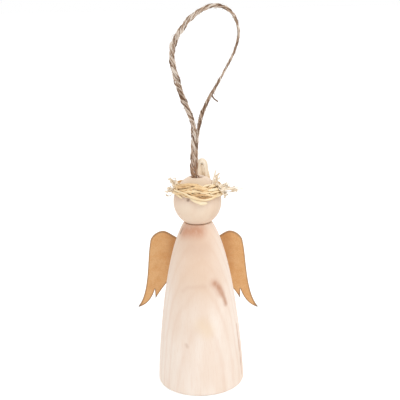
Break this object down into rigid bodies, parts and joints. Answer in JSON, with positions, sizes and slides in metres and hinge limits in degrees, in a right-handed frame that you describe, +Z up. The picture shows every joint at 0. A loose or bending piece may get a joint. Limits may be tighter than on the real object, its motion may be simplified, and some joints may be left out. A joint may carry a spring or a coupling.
{
  "type": "wooden angel ornament",
  "caption": "Turned wooden angel with a plain bead head, leather wings, a raffia halo and a twine loop; it stands on its flat base or hangs by the loop.",
  "frame": {"origin": "centre of the flat base, on the axis the body is turned about", "axes": "+Z up the figure's axis, front towards -Y, +X to the right as seen from the front"},
  "size_m": [0.0546, 0.0389, 0.1596],
  "materials": {
    "wood": "bare turned wood, fine sanded, matt",
    "leather": "undyed tan leather, matt, with darker cut edges",
    "raffia": "dry raffia strands, slight sheen",
    "twine": "rough twisted jute",
    "glue": "set craft glue, milky and glossy"
  },
  "bodies": {
    "figure": {"body": "wood", "head": "wood", "hanger_knot": "twine", "left_wing": "leather", "right_wing": "leather", "wing_glue": "glue", "raffia_strand_1": "raffia", "raffia_strand_2": "raffia", "raffia_strand_3": "raffia", "raffia_strand_4": "raffia", "raffia_tie": "raffia", "raffia_bow": "raffia"},
    "loop": {"hanging_loop": "twine"}
  },
  "joints": [
    {"name": "loop_fold", "type": "hinge", "parent": "figure", "child": "loop", "pos_m": [0, 0, 0.0903], "axis": [1, 0, 0], "range_deg": [-40, 75], "stiffness_Nm_per_rad": 0.002}
  ]
}
